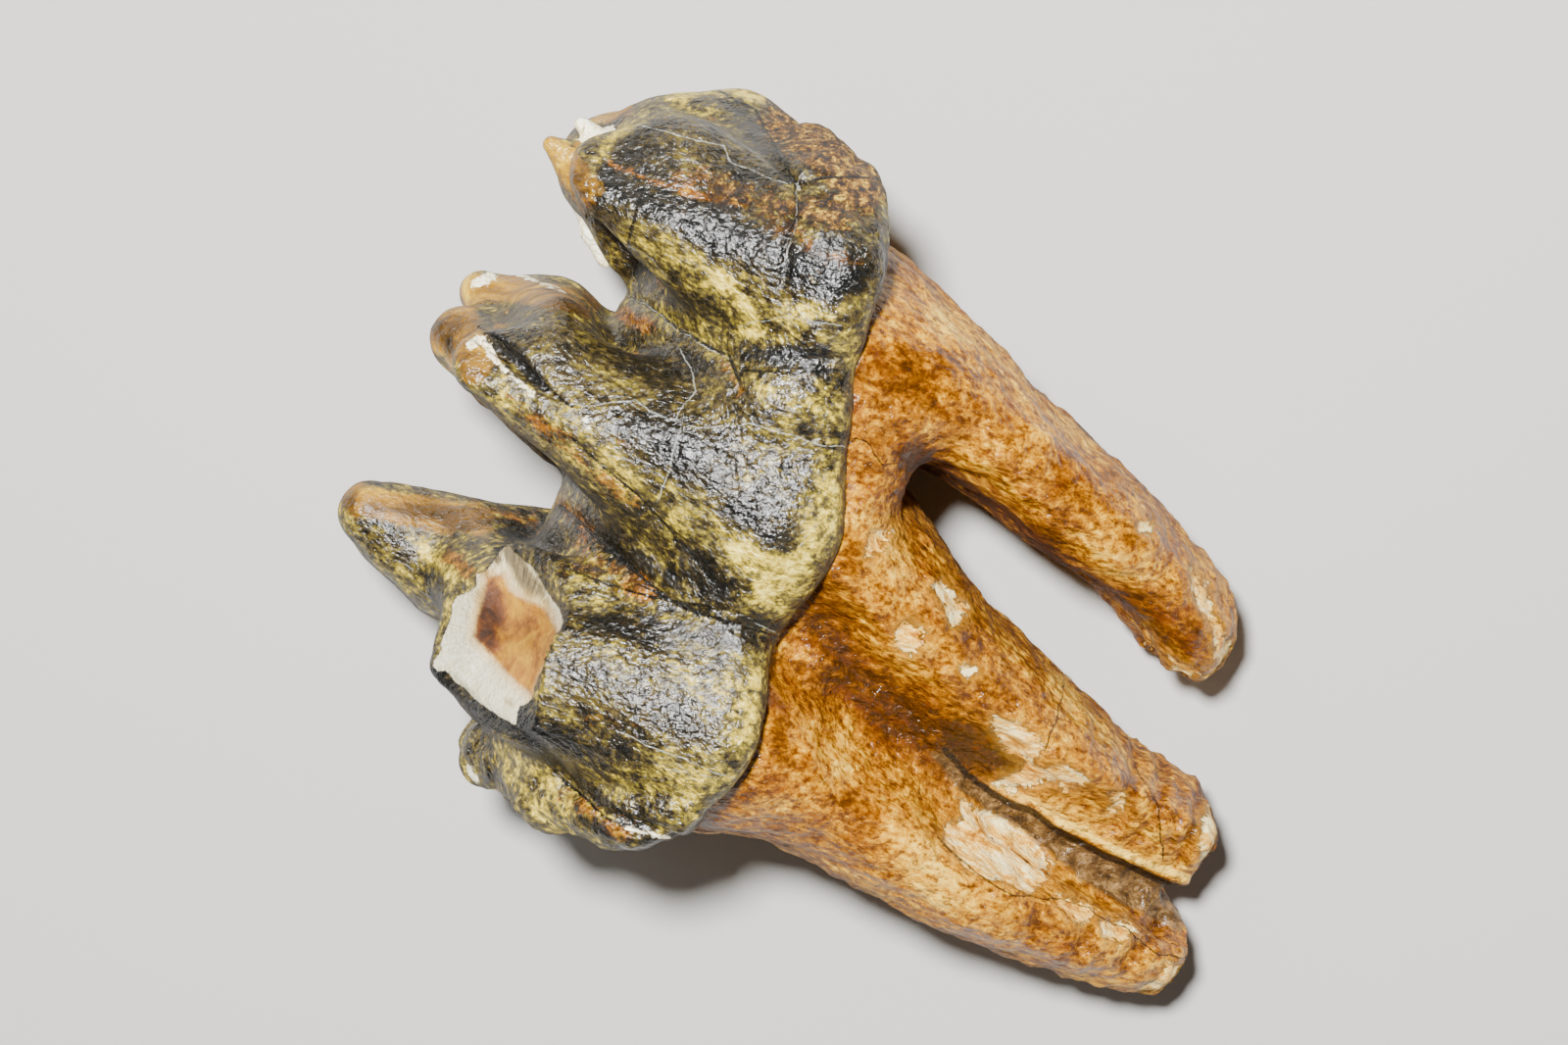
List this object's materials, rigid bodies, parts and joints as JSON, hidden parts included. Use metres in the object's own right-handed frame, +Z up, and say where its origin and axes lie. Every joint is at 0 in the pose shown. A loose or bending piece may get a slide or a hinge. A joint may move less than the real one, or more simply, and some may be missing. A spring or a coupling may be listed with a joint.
{
  "type": "fossil mastodon molar",
  "caption": "Fossil mastodon molar lying on one side, with a ridged enamel crown, a cusp broken open to the dentine, and long forked roots.",
  "frame": {"origin": "centre of the footprint, on the surface that the tooth lies on", "axes": "+Z up, +Y along the tooth from the cusps to the root tips, +X from the front ridge of the crown to its rear heel"},
  "size_m": [0.113, 0.1456, 0.0776],
  "materials": {
    "fossil_tooth": "mineralised enamel, dark olive and grey and glossy, over orange-brown varnished roots"
  },
  "bodies": {
    "root": {"molar": "fossil_tooth"}
  },
  "joints": []
}
